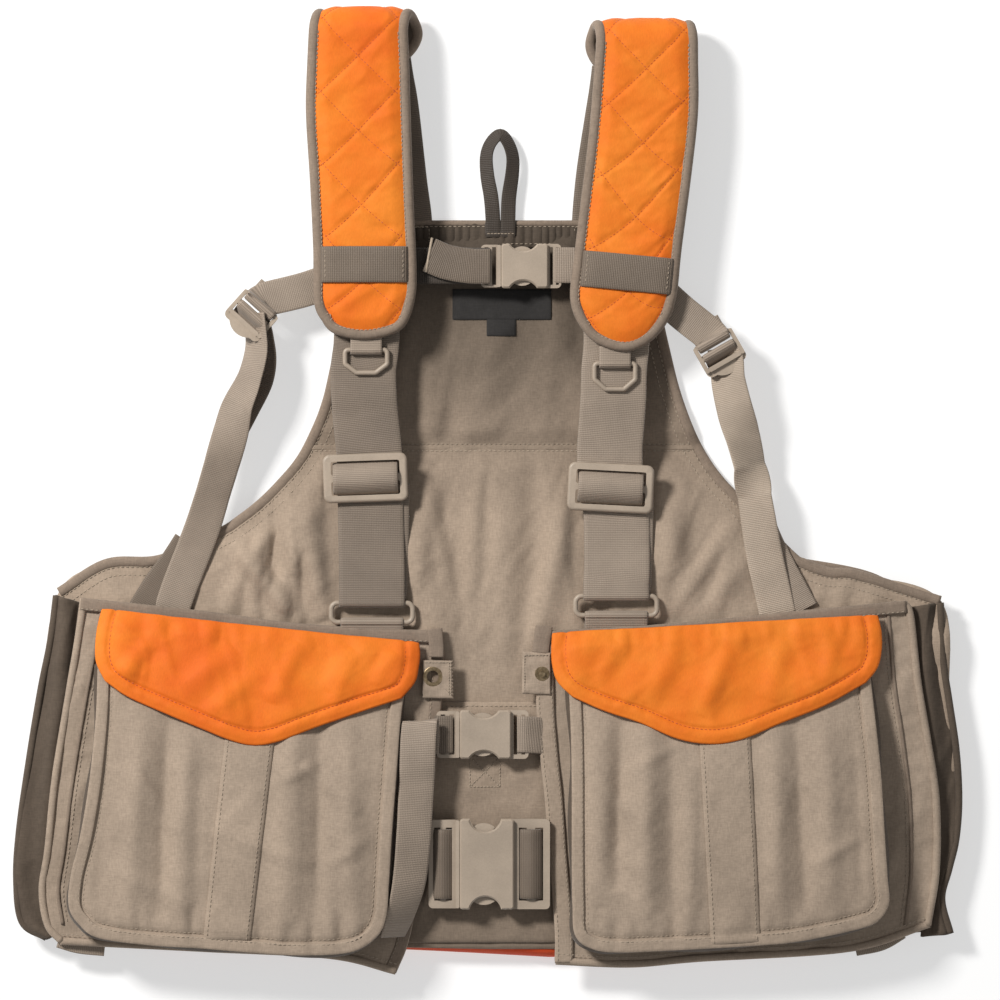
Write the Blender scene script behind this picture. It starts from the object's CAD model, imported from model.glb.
"""Looks of the strap vest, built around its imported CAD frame.
Lengths in the shape code are millimetres."""
import math

import bpy
import numpy as np
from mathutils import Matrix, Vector


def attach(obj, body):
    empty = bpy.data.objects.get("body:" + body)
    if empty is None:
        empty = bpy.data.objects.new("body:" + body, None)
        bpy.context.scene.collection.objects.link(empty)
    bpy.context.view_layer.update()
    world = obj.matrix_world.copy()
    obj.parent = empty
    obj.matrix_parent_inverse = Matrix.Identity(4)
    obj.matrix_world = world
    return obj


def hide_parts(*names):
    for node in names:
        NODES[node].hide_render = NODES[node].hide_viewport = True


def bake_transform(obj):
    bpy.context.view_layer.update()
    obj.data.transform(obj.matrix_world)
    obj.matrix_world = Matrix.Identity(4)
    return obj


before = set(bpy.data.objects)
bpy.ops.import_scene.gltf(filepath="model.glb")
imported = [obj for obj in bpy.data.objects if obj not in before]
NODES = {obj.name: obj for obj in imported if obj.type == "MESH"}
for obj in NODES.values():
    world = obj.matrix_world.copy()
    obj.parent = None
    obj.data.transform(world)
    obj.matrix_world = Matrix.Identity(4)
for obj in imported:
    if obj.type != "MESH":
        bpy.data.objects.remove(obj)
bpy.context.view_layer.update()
MM = 0.001

# Levels and sizes shared with the CAD
CLOTH = 2.0
PANEL_Z = 22.0
TOP_Z = 24.0
WEB_T = 1.6
BAG_Z = 13.0
SEAM_Y = 30.0
PAD_LOW = 25.6
PAD_T = 11.4
HINGE_Z = 28.0
FLAP_SLOPE = 0.196
LEFT_FOLD = ((-158.75, -97.0), math.radians(-6.05))
RIGHT_FOLD = ((159.25, -96.5), math.radians(3.15))
RING_BAR = 6.75  # from the middle of a rectangular ring to each of its bars
FLAP_BEND = 14.0  # length over which a flap's cloth bends
EDGE_SWELL = 0.35  # how far a sheet's edge swells out, as a share of its thickness
LEAST_SIDE = 0.0101  # shortest side of a flat piece, in metres
ACROSS = (1, 0, 0)
ALONG = (0, 1, 0)


# ------------------------------------------------------------------ curves and noise
def lengths(path):
    """Distance travelled along a line up to each of its points."""
    return np.r_[0, np.cumsum(np.linalg.norm(np.diff(path, axis=0), axis=1))]


def spots(at, step, path):
    """Points at given distances along a line."""
    return np.stack([np.interp(at, step, path[:, k]) for k in range(path.shape[1])], axis=1)


def unit(vectors):
    return vectors / (np.linalg.norm(vectors, axis=-1, keepdims=True) + 1e-9)


def through(points, count, smooth=True):
    """Evenly spaced points on a curve through the given ones."""
    p = np.array(points, float)
    if smooth and len(p) > 2:
        ext = np.vstack([2 * p[0] - p[1], p, 2 * p[-1] - p[-2]])
        t = np.linspace(0, 1, 14, endpoint=False)[:, None]
        parts = [0.5 * (2 * b + (c - a) * t + (2 * a - 5 * b + 4 * c - d) * t ** 2
                        + (3 * b - a - 3 * c + d) * t ** 3)
                 for a, b, c, d in zip(ext, ext[1:], ext[2:], ext[3:])]
        p = np.vstack(parts + [p[-1:]])
    step = lengths(p)
    return spots(np.linspace(0, step[-1], count), step, p)


def level(start, finish, y, count):
    """Points on a line across the vest."""
    return np.stack([np.linspace(start, finish, count), np.full(count, y)], axis=1)


def patch(left, right, nu, nv, top=(), bottom=()):
    """Grid (nv, nu, 2) between two lines that run downward.
    top and bottom list the points between the ends of those lines."""
    l, r = through(left, nv), through(right, nv)
    t = through([left[0], *top, right[0]], nu)
    b = through([left[-1], *bottom, right[-1]], nu)
    u = np.linspace(0, 1, nu)[None, :, None]
    v = np.linspace(0, 1, nv)[:, None, None]
    corners = (1 - u) * (1 - v) * t[0] + u * (1 - v) * t[-1] + (1 - u) * v * b[0] + u * v * b[-1]
    return (1 - v) * t[None] + v * b[None] + (1 - u) * l[:, None] + u * r[:, None] - corners


def waves(x, y, size, seed, terms=9):
    """Smooth random ripples of about the given size, from -1 to 1."""
    rng = np.random.default_rng(seed)
    total = np.zeros(np.broadcast(x, y).shape)
    for _ in range(terms):
        turn, phase = rng.uniform(0, 2 * math.pi, 2)
        k = 2 * math.pi / (size * rng.uniform(0.6, 1.6))
        total += np.sin((x * math.cos(turn) + y * math.sin(turn)) * k + phase)
    return total / math.sqrt(terms) / 1.6


def folds(x, y, angle, across, along, seed, sharp=0.45):
    """Cloth folds that run at an angle in degrees: soft waves with narrower crests, about -1 to 1."""
    a = math.radians(angle)
    s = (y * math.cos(a) - x * math.sin(a)) / across
    t = (x * math.cos(a) + y * math.sin(a)) / along
    s = s + 0.45 * waves(s, t, 2.4, seed + 100)
    soft = waves(s, t, 1.0, seed)
    crest = np.clip(1 - np.abs(waves(s, t, 1.4, seed + 50)), 0, 1) ** 3
    return (1 - sharp) * soft + sharp * (2 * crest - 0.7)


def crease(x, y, start, finish, wide, high):
    """A soft ridge or valley between two points, fading out at its ends."""
    (x0, y0), (x1, y1) = start, finish
    dx, dy = x1 - x0, y1 - y0
    length = math.hypot(dx, dy)
    t = ((x - x0) * dx + (y - y0) * dy) / length ** 2
    off = ((x - x0) * -dy + (y - y0) * dx) / length
    fade = np.clip(t, 0, 1) * np.clip(1 - t, 0, 1) * 4
    return high * np.exp(-(off / wide) ** 2) * np.sqrt(np.clip(fade, 0, 1))


def creases(x, y, rows):
    """The sum of several creases, each given as start, finish, width and height."""
    return sum(crease(x, y, *row) for row in rows)


def near(xy, path):
    """Distance from every grid point to a line of points."""
    flat = xy.reshape(-1, 2)
    path = np.array(path, float)
    a, b = path[:-1], path[1:]
    d = b - a
    ln = (d ** 2).sum(1) + 1e-9
    best = np.full(len(flat), 1e9)
    for k in range(len(a)):
        t = np.clip(((flat - a[k]) * d[k]).sum(1) / ln[k], 0, 1)
        best = np.minimum(best, np.linalg.norm(flat - a[k] - t[:, None] * d[k], axis=1))
    return best.reshape(xy.shape[:2])


def groove(distance, wide, deep):
    """Depth pulled in along a line of stitches."""
    return -deep * np.exp(-(distance / wide) ** 2)


def inset(path, amount):
    """A flat line moved to its own left by an amount."""
    p = np.array(path, float)
    t = unit(np.gradient(p, axis=0))
    return p + np.column_stack([-t[:, 1], t[:, 0]]) * amount


def flat_side(line):
    """Directions across a line, in the plane of the vest."""
    return np.column_stack([unit(inset(line, 1.0) - line), np.zeros(len(line))])


# ------------------------------------------------------------------ mesh makers
def mesh(name, verts, faces, uvs=None, material=None, body="vest", node=None):
    """A smooth piece that rides a body, or blends between two of them, and may replace a CAD node."""
    data = bpy.data.meshes.new(name)
    data.from_pydata((np.array(verts) * MM).tolist(), [], faces)
    data.update()
    if uvs is not None:
        layer = data.uv_layers.new(name="UVMap")
        loops = np.zeros(len(data.loops), np.int32)
        data.loops.foreach_get("vertex_index", loops)
        layer.data.foreach_set("uv", (np.array(uvs)[loops] * MM).ravel())
    data.polygons.foreach_set("use_smooth", [True] * len(data.polygons))
    obj = bpy.data.objects.new(name, data)
    bpy.context.scene.collection.objects.link(obj)
    data.materials.append(material)
    if isinstance(body, tuple):
        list(body)
        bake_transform(obj)
    else:
        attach(obj, body)
    if node:
        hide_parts(node)
    return obj


def cut(low, held):
    """Declares a piece as a sheet, cut to the outline its grid has when it is pressed flat."""
    p = low * MM
    if held != "folded" or np.ptp(p[..., 2]) <= 0.01:
        p = p[..., :2]
    wide = np.linalg.norm(np.diff(p, axis=1), axis=2).sum(axis=1).max()
    tall = np.linalg.norm(np.diff(p, axis=0), axis=2).sum(axis=0).max()
    a, b = p[1:, 1:] - p[:-1, :-1], p[1:, :-1] - p[:-1, 1:]
    if p.shape[2] == 2:
        area = 0.5 * np.abs(a[..., 0] * b[..., 1] - a[..., 1] * b[..., 0]).sum()
    else:
        area = 0.5 * np.linalg.norm(np.cross(a, b), axis=2).sum()
    flat = (round(float(max(wide, LEAST_SIDE)), 4), round(float(max(tall, LEAST_SIDE)), 4))
    area = round(float(min(area, flat[0] * flat[1])), 5)


def grid_normals(p):
    return unit(np.cross(np.gradient(p, axis=0), np.gradient(p, axis=1)))


def outline(nv, nu):
    """The grid places round a grid's edge."""
    return ([(0, j) for j in range(nu)] + [(i, nu - 1) for i in range(1, nv)]
            + [(nv - 1, j) for j in range(nu - 2, -1, -1)] + [(i, 0) for i in range(nv - 2, 0, -1)])


def sheet_mesh(name, low, thick, material, uv, body, node):
    """A closed sheet over a grid of its lower surface, with rounded edges.
    thick is one number or a value for each grid point."""
    nv, nu = low.shape[:2]
    n = grid_normals(low)
    thick = np.broadcast_to(np.asarray(thick, float), (nv, nu))
    high = low + n * thick[..., None]
    ring = outline(nv, nu)
    edge = tuple(np.array(ring).T)
    mid = (low[edge] + high[edge]) / 2
    out = unit(np.cross(n[edge], np.roll(mid, -1, 0) - np.roll(mid, 1, 0)))
    if ((mid - mid.mean(0)) * out).sum() < 0:
        out = -out
    mid = mid + out * (thick[edge] * EDGE_SWELL)[:, None]
    top = lambda i, j: i * nu + j
    bot = lambda i, j: nv * nu + i * nu + j
    faces = []
    for i in range(nv - 1):
        for j in range(nu - 1):
            faces.append((top(i, j), top(i + 1, j), top(i + 1, j + 1), top(i, j + 1)))
            faces.append((bot(i, j), bot(i, j + 1), bot(i + 1, j + 1), bot(i + 1, j)))
    m0, count = 2 * nv * nu, len(ring)
    for k in range(count):
        k2 = (k + 1) % count
        faces.append((top(*ring[k]), top(*ring[k2]), m0 + k2, m0 + k))
        faces.append((m0 + k, m0 + k2, bot(*ring[k2]), bot(*ring[k])))
    verts = np.vstack([high.reshape(-1, 3), low.reshape(-1, 3), mid])
    uv = np.asarray(low[..., :2] if uv is None else uv, float)
    uvs = np.vstack([uv.reshape(-1, 2), uv.reshape(-1, 2), uv[edge]])
    return mesh(name, verts, faces, uvs, material, body, node)


def cloth(name, low, thick, material, held, node=None, uv=None, body="vest",
          flat=None):
    """A piece of cloth with its slot and flat size; flat and area are given where they are known."""
    piece = sheet_mesh(name, low, thick, material, uv, body, node)
    if flat:
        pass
    else:
        cut(low, held)


SECTION = np.array([(-1, 0), (-0.97, 0.62), (-0.86, 0.94), (-0.45, 1), (0, 1.0), (0.45, 1), (0.86, 0.94),
                    (0.97, 0.62), (1, 0), (0.97, -0.62), (0.86, -0.94), (0.45, -1), (0, -1.0),
                    (-0.45, -1), (-0.86, -0.94), (-0.97, -0.62)])
ROUND = np.array([(math.cos(a), math.sin(a)) for a in np.linspace(math.pi, -math.pi, 15)[:-1]])


def ribbon(name, path, side, width, thick, material, section=SECTION, body="vest", node=None):
    """A flat band along a path; side is the direction across it, the same everywhere or per point."""
    path = np.array(path, float)
    n, k = len(path), len(section)
    side = np.broadcast_to(np.array(side, float), path.shape)
    tangent = unit(np.gradient(path, axis=0))
    side = unit(side - tangent * (side * tangent).sum(1)[:, None])
    up = np.cross(side, tangent)
    rings = (path[:, None] + side[:, None] * (section[:, :1] * width / 2)
             + up[:, None] * (section[:, 1:] * thick / 2))
    uvs = np.stack([np.broadcast_to(section[:, 0] * width / 2, (n, k)),
                    np.broadcast_to(lengths(path)[:, None], (n, k))], axis=2).reshape(-1, 2)
    faces = [(i * k + k + j, i * k + k + (j + 1) % k, i * k + (j + 1) % k, i * k + j)
             for i in range(n - 1) for j in range(k)]
    faces += [tuple(range(k)), tuple((n - 1) * k + j for j in range(k))[::-1]]
    return mesh(name, rings.reshape(-1, 3), faces, uvs, material, body, node)


class Thread:
    """Collects the stitches of one body into one mesh."""

    def __init__(self, name, body, material):
        self.name, self.body, self.material = name, body, material
        self.verts, self.faces = [], []
        angles = np.linspace(0, 2 * math.pi, 6, endpoint=False)
        ring = np.stack([np.zeros(6), np.cos(angles), np.sin(angles)], axis=1) * [1, .8, .8]
        self.shape = np.vstack([[[-1, 0, 0]], ring + [-0.55, 0, 0], ring + [0.55, 0, 0], [[1, 0, 0]]])
        self.tri = ([(0, 1 + (i + 1) % 6, 1 + i) for i in range(6)]
                    + [(1 + i, 1 + (i + 1) % 6, 7 + (i + 1) % 6, 7 + i) for i in range(6)]
                    + [(13, 7 + i, 7 + (i + 1) % 6) for i in range(6)])

    def row(self, path, pitch=3.4, length=2.4, wide=0.8):
        """A row of stitches along a line of 3-D points."""
        path = np.array(path, float)
        step = lengths(path)
        if step[-1] < pitch:
            return
        at = np.arange(pitch / 2, step[-1], pitch)
        ahead = spots(np.minimum(at + 0.4, step[-1]), step, path)
        behind = spots(np.maximum(at - 0.4, 0), step, path)
        for m, t in zip(spots(at, step, path), unit(ahead - behind)):
            s = unit(np.cross((0, 0, 1.0), t))
            n = np.cross(t, s)
            base = len(self.verts)
            pts = (m + t * (self.shape[:, :1] * length / 2) + s * (self.shape[:, 1:2] * wide / 2)
                   + n * (self.shape[:, 2:3] * wide * 0.45))
            self.verts.extend(pts.tolist())
            self.faces.extend([tuple(base + i for i in f) for f in self.tri])

    def done(self):
        mesh(self.name, self.verts, self.faces, None, self.material, self.body)


def on_surface(path, grid, lift):
    """3-D points on a sheet's grid above a flat line."""
    flat = grid.reshape(-1, 3)
    out = []
    for p in np.array(path, float):
        d = ((flat[:, :2] - p) ** 2).sum(1)
        k = np.argpartition(d, 4)[:4]
        w = 1 / (d[k] + 0.05)
        out.append((p[0], p[1], (flat[k, 2] * w).sum() / w.sum() + lift))
    return np.array(out)


def grid_surface(xs, ys, grid, lift):
    """A level grid of points laid on a sheet's grid."""
    X, Y = np.meshgrid(xs, ys)
    return on_surface(np.column_stack([X.ravel(), Y.ravel()]), grid, lift).reshape(*X.shape, 3)


def sew(line, grid, lift, **kind):
    """A row of the vest's stitches along a flat line laid on a sheet's grid."""
    stitch.row(on_surface(line, grid, lift), **kind)


# ------------------------------------------------------------------ materials
def grey(v):
    return (v, v, v, 1.0)


def greys(*stops):
    return [(place, grey(v)) for place, v in stops]


def shade(base, k):
    """A colour made darker or lighter."""
    return tuple(min(1, c * k) for c in base[:3]) + (1.0,)


class Look:
    """A node material, built step by step."""

    def __init__(self, name, roughness, metallic=0.0, sheen=0.0, specular=0.5):
        self.mat = bpy.data.materials.new(name)
        self.mat.use_nodes = True
        self.tree = self.mat.node_tree
        self.shader = self.tree.nodes["Principled BSDF"]
        self.coord = self.node("ShaderNodeTexCoord")
        self.fill(self.shader, {"Roughness": roughness, "Metallic": metallic, "Specular IOR Level": specular})
        if sheen:
            self.fill(self.shader, {"Sheen Weight": sheen, "Sheen Roughness": 0.45})

    def fill(self, node, inputs):
        """Gives each input a value, or links it to the socket of another node."""
        for key, value in inputs.items():
            if isinstance(value, bpy.types.NodeSocket):
                self.tree.links.new(value, node.inputs[key])
            else:
                node.inputs[key].default_value = value

    def node(self, kind, inputs=None, **settings):
        n = self.tree.nodes.new(kind)
        for key, value in settings.items():
            setattr(n, key, value)
        self.fill(n, inputs or {})
        return n

    def noise(self, scale, detail=4.0, rough=0.55, space="Object", stretch=None):
        source = self.coord.outputs[space]
        if stretch:
            source = self.node("ShaderNodeMapping", {"Scale": stretch, "Vector": source}).outputs["Vector"]
        return self.node("ShaderNodeTexNoise", {"Scale": scale, "Detail": detail, "Roughness": rough,
                                                "Vector": source}).outputs["Fac"]

    def bands(self, period, axis, distort=0.0):
        """Parallel threads or ribs with a period in metres."""
        inputs = {"Scale": 0.31416 / period, "Distortion": distort, "Detail": 1.0, "Detail Scale": 3.0,
                  "Vector": self.coord.outputs["UV"]}
        return self.node("ShaderNodeTexWave", inputs, wave_type="BANDS", bands_direction=axis,
                         wave_profile="SIN").outputs["Fac"]

    def ramp(self, fac, stops):
        r = self.node("ShaderNodeValToRGB", {"Fac": fac})
        while len(r.color_ramp.elements) < len(stops):
            r.color_ramp.elements.new(0.5)
        for e, (pos, colour) in zip(r.color_ramp.elements, stops):
            e.position = pos
            e.color = colour
        return r.outputs["Color"]

    def tint(self, colour, fac, amount, *stops):
        """Darkens or lightens a colour by a ramp of greys."""
        return self.node("ShaderNodeMix", {"Factor": amount, "A": colour, "B": self.ramp(fac, greys(*stops))},
                         data_type="RGBA", blend_type="MULTIPLY").outputs["Result"]

    def math(self, a, b, op):
        return self.node("ShaderNodeMath", {0: a, 1: b}, operation=op).outputs["Value"]

    def finish(self, colour, low, high, fac, *heights):
        """Colour, roughness between two values, and bumps as (socket, metres, strength)."""
        span = self.node("ShaderNodeMapRange", {"To Min": low, "To Max": high, "Value": fac})
        self.fill(self.shader, {"Base Color": colour, "Roughness": span.outputs["Result"]})
        last = None
        for socket, distance, strength in heights:
            b = self.node("ShaderNodeBump", {"Distance": distance, "Strength": strength, "Height": socket})
            if last is not None:
                self.fill(b, {"Normal": last})
            last = b.outputs["Normal"]
        self.fill(self.shader, {"Normal": last})
        return self.mat


def canvas_look(name, base, spread=0.10, thread=0.0009, bump=1.0, sheen=0.1, fade=None):
    """Plain-woven cotton canvas: slubby threads both ways, uneven dye and soft crumpling.
    fade lists heights along the vest with how much darker the worn-in cloth is there."""
    look = Look(name, 0.9, sheen=sheen, specular=0.2)
    colour = look.ramp(look.noise(13, 5, 0.65), [(0.32, shade(base, 1 - spread)), (0.5, base),
                                                (0.70, shade(base, 1 + spread))])
    slubs = look.math(look.noise(1000, 3, 0.6, "UV", (0.2, 1, 1)),
                      look.noise(1000, 3, 0.6, "UV", (1, 0.2, 1)), "ADD")
    colour = look.tint(colour, look.math(slubs, 0.5, "MULTIPLY"), 0.8, (0.36, 0.78), (0.62, 1.10))
    colour = look.tint(colour, look.noise(60, 6, 0.7), 0.8, (0.30, 0.92), (0.62, 1.04))
    if fade:
        low, high = fade[0][0], fade[-1][0]
        split = look.node("ShaderNodeSeparateXYZ", {"Vector": look.coord.outputs["Object"]})
        span = look.node("ShaderNodeMapRange", {"From Min": low, "From Max": high,
                                                "Value": split.outputs["Y"]})
        stops = [((y - low) / (high - low), v) for y, v in fade]
        colour = look.tint(colour, span.outputs["Result"], 1.0, *stops)
    weave = look.math(look.bands(thread, "X"), look.bands(thread, "Y"), "MULTIPLY")
    return look.finish(colour, 0.82, 0.97, look.noise(150, 2), (weave, 0.00010 * bump, 0.4),
                       (slubs, 0.00012 * bump, 0.4), (look.noise(70, 3, 0.5), 0.0014 * bump, 0.6))


def orange_look(name, base=(0.74, 0.170, 0.013, 1.0)):
    """Blaze orange polyester: a fine smooth weave with a soft sheen."""
    look = Look(name, 0.7, sheen=0.05, specular=0.2)
    dark = (base[0] * 0.93, base[1] * 0.74, base[2] * 0.8, 1)
    light = (min(1, base[0] * 1.05), base[1] * 1.30, base[2] * 1.6, 1)
    tone = look.ramp(look.noise(14, 4, 0.6), [(0.30, dark), (0.50, base), (0.72, light)])
    tone = look.tint(tone, look.noise(1500, 2, 0.6, "UV", (1, 0.2, 1)), 0.7, (0.3, 0.88), (0.7, 1.05))
    twill = look.math(look.bands(0.0007, "X"), look.bands(0.0007, "Y"), "MULTIPLY")
    return look.finish(tone, 0.60, 0.78, look.noise(90, 3), (twill, 0.00005, 0.4),
                       (look.noise(110, 4, 0.6), 0.0008, 0.5))


def webbing_look(name, base):
    """Ribbed nylon webbing: fine cross ribs, lengthwise yarns and slightly darker gaps."""
    look = Look(name, 0.7, sheen=0.2, specular=0.4)
    ribs = look.bands(0.00125, "Y", 0.2)
    tone = look.ramp(ribs, [(0.05, shade(base, 0.74)), (0.42, base), (0.95, shade(base, 1.10))])
    tone = look.tint(tone, look.noise(30, 4, 0.6), 0.9, (0.3, 0.84), (0.7, 1.08))
    tone = look.tint(tone, look.noise(1500, 2, 0.6, "UV"), 0.8, (0.3, 0.88), (0.7, 1.05))
    return look.finish(tone, 0.52, 0.74, look.noise(200, 2), (ribs, 0.00026, 0.7),
                       (look.bands(0.0012, "X"), 0.00012, 0.5), (look.noise(60, 2), 0.0006, 0.4))


def plastic_look(name, base):
    """Moulded acetal with a fine eroded texture and rubbed edges."""
    look = Look(name, 0.45, specular=0.45)
    tone = look.ramp(look.noise(35, 4, 0.6), [(0.3, shade(base, 0.88)), (0.55, base),
                                              (0.8, shade(base, 1.10))])
    tone = look.tint(tone, look.noise(900, 2, 0.5), 0.8, (0.3, 0.93), (0.7, 1.04))
    edge = look.node("ShaderNodeNewGeometry").outputs["Pointiness"]
    tone = look.tint(tone, edge, 0.7, (0.46, 0.80), (0.50, 1.0), (0.58, 1.25))
    return look.finish(tone, 0.36, 0.56, look.noise(300, 3), (look.noise(1800, 2, 0.5), 0.00006, 0.5),
                       (look.noise(120, 3), 0.00015, 0.3))


def brass_look(name):
    """Antique brass: darkened in the recesses, brighter where it is rubbed."""
    look = Look(name, 0.35, metallic=1.0)
    tone = look.ramp(look.noise(400, 4, 0.6), [(0.3, (0.20, 0.145, 0.085, 1)), (0.6, (0.44, 0.33, 0.20, 1)),
                                              (0.85, (0.72, 0.60, 0.42, 1))])
    return look.finish(tone, 0.26, 0.48, look.noise(500, 3), (look.noise(900, 3), 0.00005, 0.5))


def thread_look(name, base):
    """Twisted sewing thread."""
    look = Look(name, 0.6, sheen=0.3, specular=0.3)
    tone = look.ramp(look.noise(1500, 2), [(0.3, shade(base, 0.75)), (0.7, base)])
    return look.finish(tone, 0.5, 0.75, look.noise(800, 2), (look.noise(3000, 2), 0.00005, 0.5))


CANVAS = canvas_look("canvas", (0.350, 0.274, 0.210, 1))
INSIDE = canvas_look("canvas_inside", (0.372, 0.288, 0.218, 1),
                     fade=[(-0.32, 0.55), (-0.22, 0.85), (-0.08, 1.0), (0.03, 0.78), (0.09, 0.46),
                           (0.187, 0.21)])
CANVAS_DARK = canvas_look("canvas_shade", (0.095, 0.072, 0.054, 1))
BINDING = canvas_look("binding_canvas", (0.240, 0.184, 0.141, 1), 0.12, 0.0007)
ORANGE = orange_look("blaze_orange_cloth")
ORANGE_DEEP = orange_look("game_bag_orange", (0.66, 0.070, 0.014, 1))
WEBBING = webbing_look("webbing", (0.312, 0.247, 0.192, 1))
WEBBING_DARK = webbing_look("webbing_dark", (0.170, 0.130, 0.097, 1))
WEBBING_DEEP = webbing_look("webbing_deep", (0.052, 0.039, 0.029, 1))
WEBBING_MID = webbing_look("webbing_mid", (0.215, 0.168, 0.129, 1))
WEBBING_PALE = webbing_look("webbing_pale", (0.430, 0.345, 0.268, 1))
PLASTIC = plastic_look("buckle_plastic", (0.345, 0.280, 0.218, 1))
BRASS = brass_look("antique_brass")
THREAD = thread_look("thread_tan", (0.40, 0.32, 0.24, 1))
THREAD_ORANGE = thread_look("thread_orange", (0.50, 0.070, 0.010, 1))
LABEL = canvas_look("label_tape", (0.030, 0.028, 0.027, 1), 0.2, 0.0007, 0.4, 0.1)

# ------------------------------------------------------------------ back, yoke and game bag
stitch = Thread("vest_stitches", "vest", THREAD)

ARM_LEFT = [(-97, 133), (-108, 80), (-113, 60), (-120, 42), (-131, 21), (-145, 4), (-159, -10),
            (-173, -21), (-187, -30), (-229, -49), (-267, -52), (-300, -72)]
ARM_RIGHT = [(117, 133), (125, 98), (132, 70), (142, 42), (153, 21), (163, 7), (174, -5),
             (212, -45), (223, -52), (240, -58), (260, -60), (318, -78)]
SEAM_LEFT, SEAM_RIGHT = (-126, SEAM_Y), (148, SEAM_Y)


def back_height(y):
    """Height of the back's underside, which climbs over the game bag."""
    t = np.clip((SEAM_Y + 6 - y) / 84, 0, 1)
    return BAG_Z * (t * t * (3 - 2 * t))


yoke_xy = patch([(-86, 187), *ARM_LEFT[:4], SEAM_LEFT], [(107, 187), *ARM_RIGHT[:4], SEAM_RIGHT], 96, 70)
x, y = yoke_xy[..., 0], yoke_xy[..., 1]
z = 3.0 + 2.6 * folds(x, y, 84, 46, 150, 3, 0.3) + 0.7 * folds(x, y, 40, 22, 50, 4)
z += creases(x, y, [((-40, 165), (-75, 50), 8, 3.0), ((75, 150), (105, 50), 8, 3.4),
                    ((10, 140), (-5, 35), 13, 3.0), ((45, 120), (85, 32), 9, 2.8)])
z = np.maximum(z, 0.1) * np.clip((y - SEAM_Y) / 12, 0.10, 1) * np.clip((187 - y) / 14, 0.3, 1)
yoke_low = np.dstack([x, y, z])
cloth("yoke_cloth", yoke_low, CLOTH, INSIDE, "laid", "yoke_panel",
      flat=(0.275, 0.160))

# Straight columns under the shoulder webbing; the two outer parts fan out to the armholes and sides
ROWS = 160
lines = np.stack([
    through([SEAM_LEFT, *ARM_LEFT[4:], (-313, -140), (-321, -189), (-328, -238), (-331, -273), (-326, -303),
             (-309, -312)], ROWS),
    np.linspace((-110, SEAM_Y), (-176, -318), ROWS),
    np.linspace((132, SEAM_Y), (196, -317), ROWS),
    through([SEAM_RIGHT, *ARM_RIGHT[4:], (324, -147), (330, -182), (331, -217), (329, -245), (324, -266),
             (319, -287), (325, -308)], ROWS)])
stations = np.r_[np.linspace(0, 1, 46, endpoint=False), np.linspace(1, 2, 104, endpoint=False),
                 np.linspace(2, 3, 46)]
back_xy = np.stack([spots(stations, range(4), lines[:, k]) for k in range(ROWS)])
hem_y = np.interp(back_xy[-1, :, 0], [-309, -250, -80, 0, 60, 250, 325],
                  [-312, -315, -320, -321.5, -321.5, -314, -308])
back_xy[..., 1] += (np.linspace(0, 1, ROWS)[:, None] ** 4) * (hem_y - back_xy[-1, :, 1])[None, :]
x, y = back_xy[..., 0], back_xy[..., 1]
z = back_height(y) + 0.2
open_part = np.clip((y + 150) / 50, 0, 1) * np.clip((SEAM_Y - y) / 16, 0.08, 1)
z += open_part * np.maximum(2.2 + 2.4 * folds(x * (1 + (SEAM_Y - y) / 900), y, 88, 44, 170, 8, 0.35)
                            + 0.8 * folds(x, y, 60, 20, 60, 9), 0)
z += open_part * creases(x, y, [
    ((-70, 24), (-24, -150), 11, 4.0), ((20, 30), (8, -150), 12, 5.0), ((48, 26), (52, -120), 9, 3.4),
    ((112, 20), (150, -100), 10, 3.6), ((-116, 26), (-150, -100), 8, 4.6), ((-140, 0), (-110, -90), 7, 3.6),
    ((-185, -30), (-130, -95), 7, 3.4), ((-150, -20), (-190, -95), 6, 3.2), ((140, 15), (118, -95), 8, 3.4),
    ((190, -30), (150, -95), 8, 3.0), ((-30, 20), (-56, -70), 7, 2.4), ((-176, -36), (-138, -86), 6, 4.6),
    ((-158, -26), (-164, -92), 5, 4.2), ((-124, -10), (-118, -92), 6, 5.0), ((-148, 6), (-134, -60), 5, 3.4),
    ((176, -20), (128, -88), 6, 4.0), ((60, 10), (30, -130), 7, 3.2), ((-6, 24), (-14, -120), 6, 2.8),
    ((-44, 10), (-20, -96), 5, 2.4)])
z += 0.6 * (1 - open_part) * np.abs(folds(x, y, 80, 60, 120, 15))
rim_gap = np.minimum(near(back_xy, through(ARM_LEFT, 120)), near(back_xy, through(ARM_RIGHT, 120)))
calm = np.clip(rim_gap / 22, 0, 1) ** 1.2
z = (back_height(y) + 0.3) * (1 - calm) + z * calm
back_low = np.dstack([x, y, z])
cloth("back_cloth", back_low, CLOTH, INSIDE, "laid", "back_panel",
      flat=(0.664, 0.352))

# Seam between yoke and back, with its two rows of stitches
sew(level(-122, 144, SEAM_Y + 2.2, 120), yoke_low, CLOTH + 0.25)
sew(level(-122, 144, SEAM_Y - 2.4, 120), back_low, CLOTH + 0.25)
ribbon("yoke_seam", on_surface(level(-125, 147, SEAM_Y, 90), yoke_low, CLOTH + 0.15), ALONG, 3.4, 1.2, INSIDE)

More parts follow.
